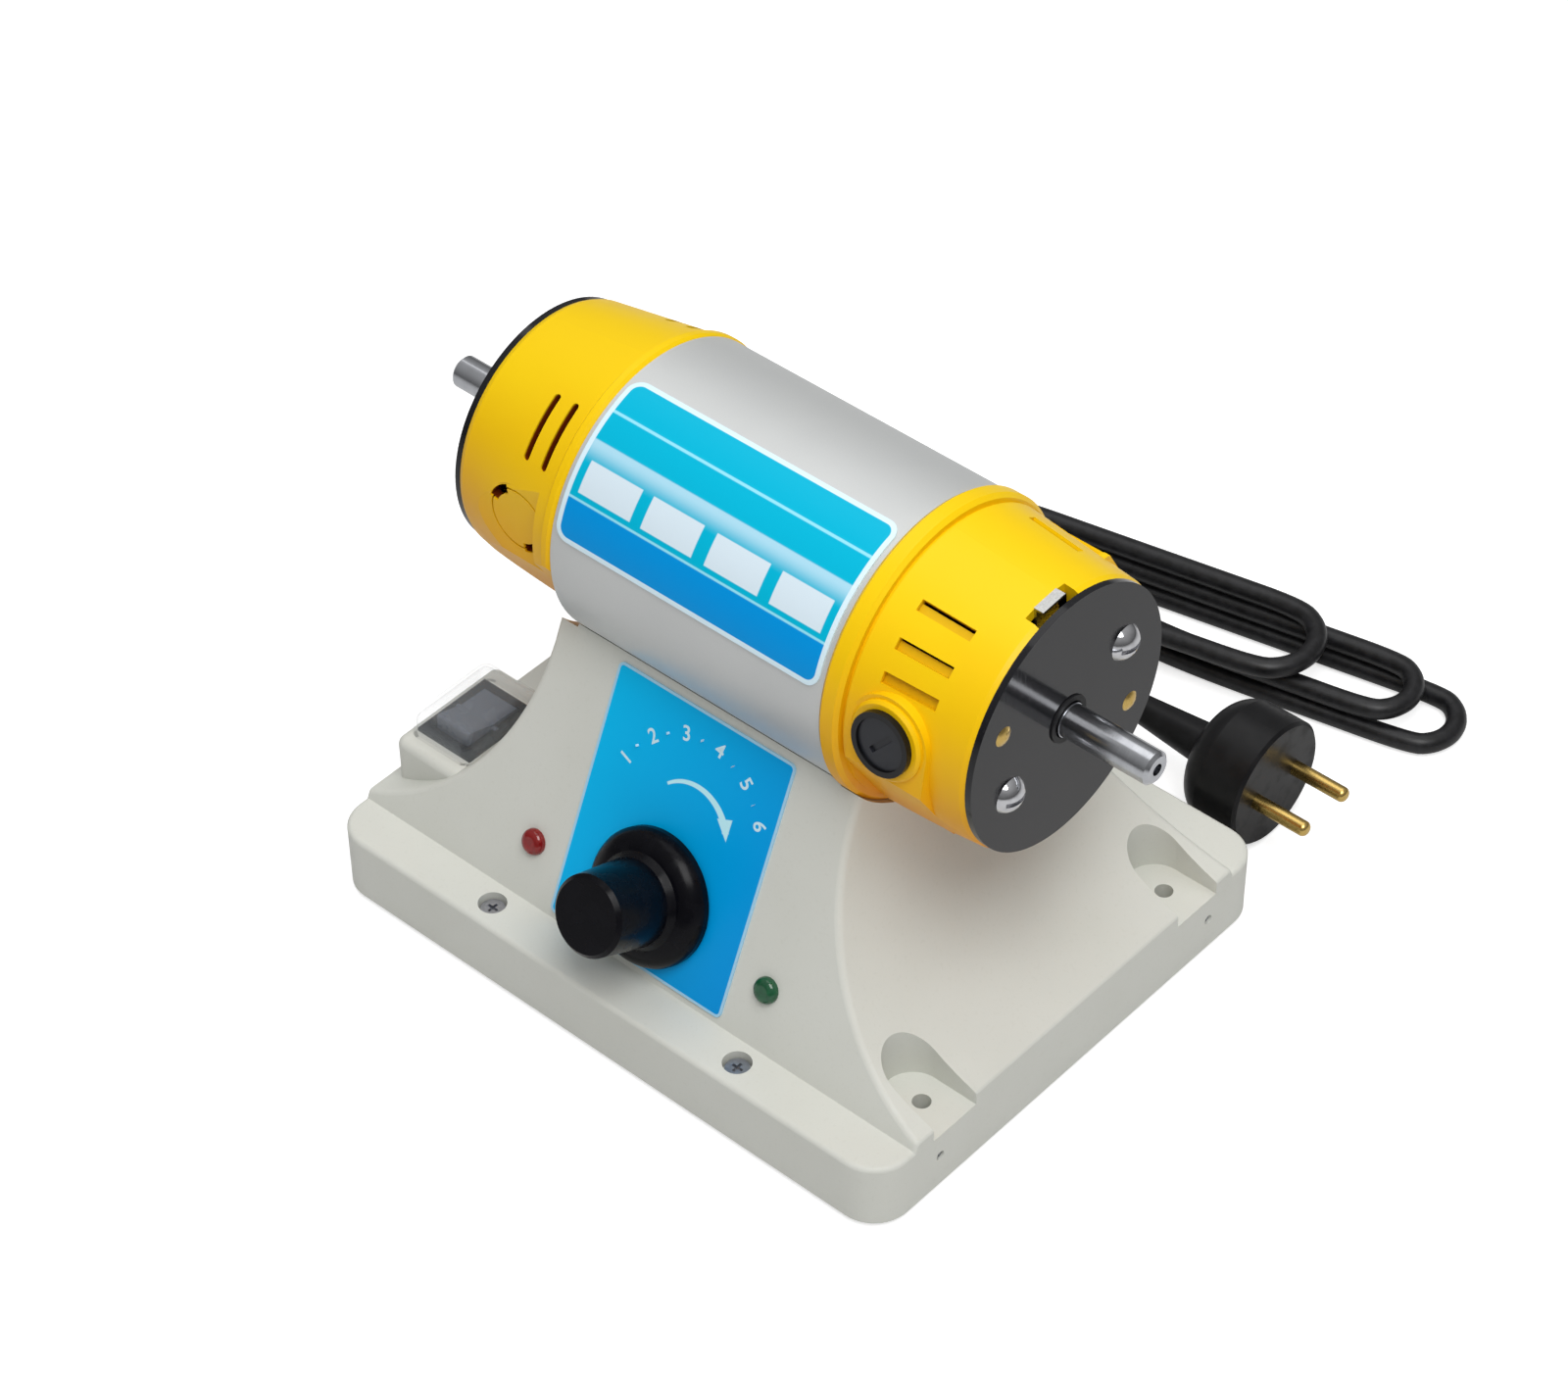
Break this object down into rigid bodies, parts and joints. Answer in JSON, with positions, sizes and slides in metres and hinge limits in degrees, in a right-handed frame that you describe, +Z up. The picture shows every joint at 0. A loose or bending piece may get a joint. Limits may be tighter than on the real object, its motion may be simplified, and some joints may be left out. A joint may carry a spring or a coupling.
{
  "type": "bench polishing lathe",
  "caption": "Two-ended bench polishing lathe: barrel motor with a free spindle at each end, on a moulded base with speed knob, lamps, covered rocker switch and mains lead.",
  "frame": {"origin": "on the bench, under the middle of the base and under the spindle's axis", "axes": "+X along the spindle towards the brush end, -Y the side with the speed knob, +Z up"},
  "size_m": [0.254, 0.2871, 0.176],
  "materials": {
    "light_grey_plastic": "satin",
    "grey_paint": "satin",
    "yellow_plastic": "gloss",
    "black_plate": "high gloss",
    "black_plastic": "gloss",
    "black_rubber": "matt",
    "chrome": "polished",
    "brass": "polished",
    "bright_steel": "turned",
    "zinc_steel": "plated",
    "laminated_steel": "plain",
    "copper_wire": "enamelled",
    "fan_plastic": "matt",
    "carbon": "matt",
    "blue_label": "gloss",
    "red_lens": "gloss",
    "green_lens": "gloss",
    "grey_rocker": "gloss",
    "clear_cover": "clear",
    "circuit_board": "satin",
    "component_grey": "matt"
  },
  "bodies": {
    "base": {"base_shell": "light_grey_plastic", "bottom_plate": "zinc_steel", "rubber_feet": "black_rubber", "case_screws": "zinc_steel", "side_screws": "zinc_steel", "motor_bolts": "zinc_steel", "motor_housing": "grey_paint", "left_end_cap": "yellow_plastic", "right_end_cap": "yellow_plastic", "cap_clip": "bright_steel", "blanking_plugs": "yellow_plastic", "left_end_plate": "black_plate", "right_end_plate": "black_plate", "end_plate_screws": "chrome", "end_plate_rivets": "brass", "shaft_seals": "black_rubber", "bearing_outer_rings": "bright_steel", "stator_core": "laminated_steel", "field_coils": "copper_wire", "brush_holders": "black_plastic", "carbon_brushes": "carbon", "brush_springs": "bright_steel", "brush_caps": "black_plastic", "panel_label": "blue_label", "motor_label": "blue_label", "red_led": "red_lens", "green_led": "green_lens", "speed_control_body": "zinc_steel", "speed_control_nut": "zinc_steel", "rocker_switch_body": "black_plastic", "switch_cover": "clear_cover", "control_board": "circuit_board", "board_standoffs": "fan_plastic", "board_screws": "zinc_steel", "board_components": "component_grey", "strain_relief": "black_rubber", "power_cord": "black_rubber", "cord_hank": "black_rubber", "plug_lead": "black_rubber", "plug_body": "black_rubber", "plug_pins": "brass"},
    "spindle": {"spindle_shaft": "bright_steel", "armature_core": "laminated_steel", "armature_windings": "copper_wire", "commutator": "copper_wire", "cooling_fan": "fan_plastic", "bearing_inner_rings": "bright_steel", "left_bearing_balls": "bright_steel", "right_bearing_balls": "bright_steel"},
    "knob": {"speed_knob": "black_plastic", "speed_control_spindle": "zinc_steel"},
    "rocker": {"switch_rocker": "grey_rocker"}
  },
  "joints": [
    {"name": "spindle_spin", "type": "hinge", "parent": "base", "child": "spindle", "pos_m": [0, 0, 0.13], "axis": [1, 0, 0], "continuous": true},
    {"name": "speed_knob_turn", "type": "hinge", "parent": "base", "child": "knob", "pos_m": [0.0012, -0.06088, 0.0462], "axis": [0, 0.91, -0.4147], "range_deg": [0, 300]},
    {"name": "rocker_tilt", "type": "hinge", "parent": "base", "child": "rocker", "pos_m": [-0.088, -0.041, 0.045], "axis": [1, 0, 0], "range_deg": [0, 20]}
  ]
}
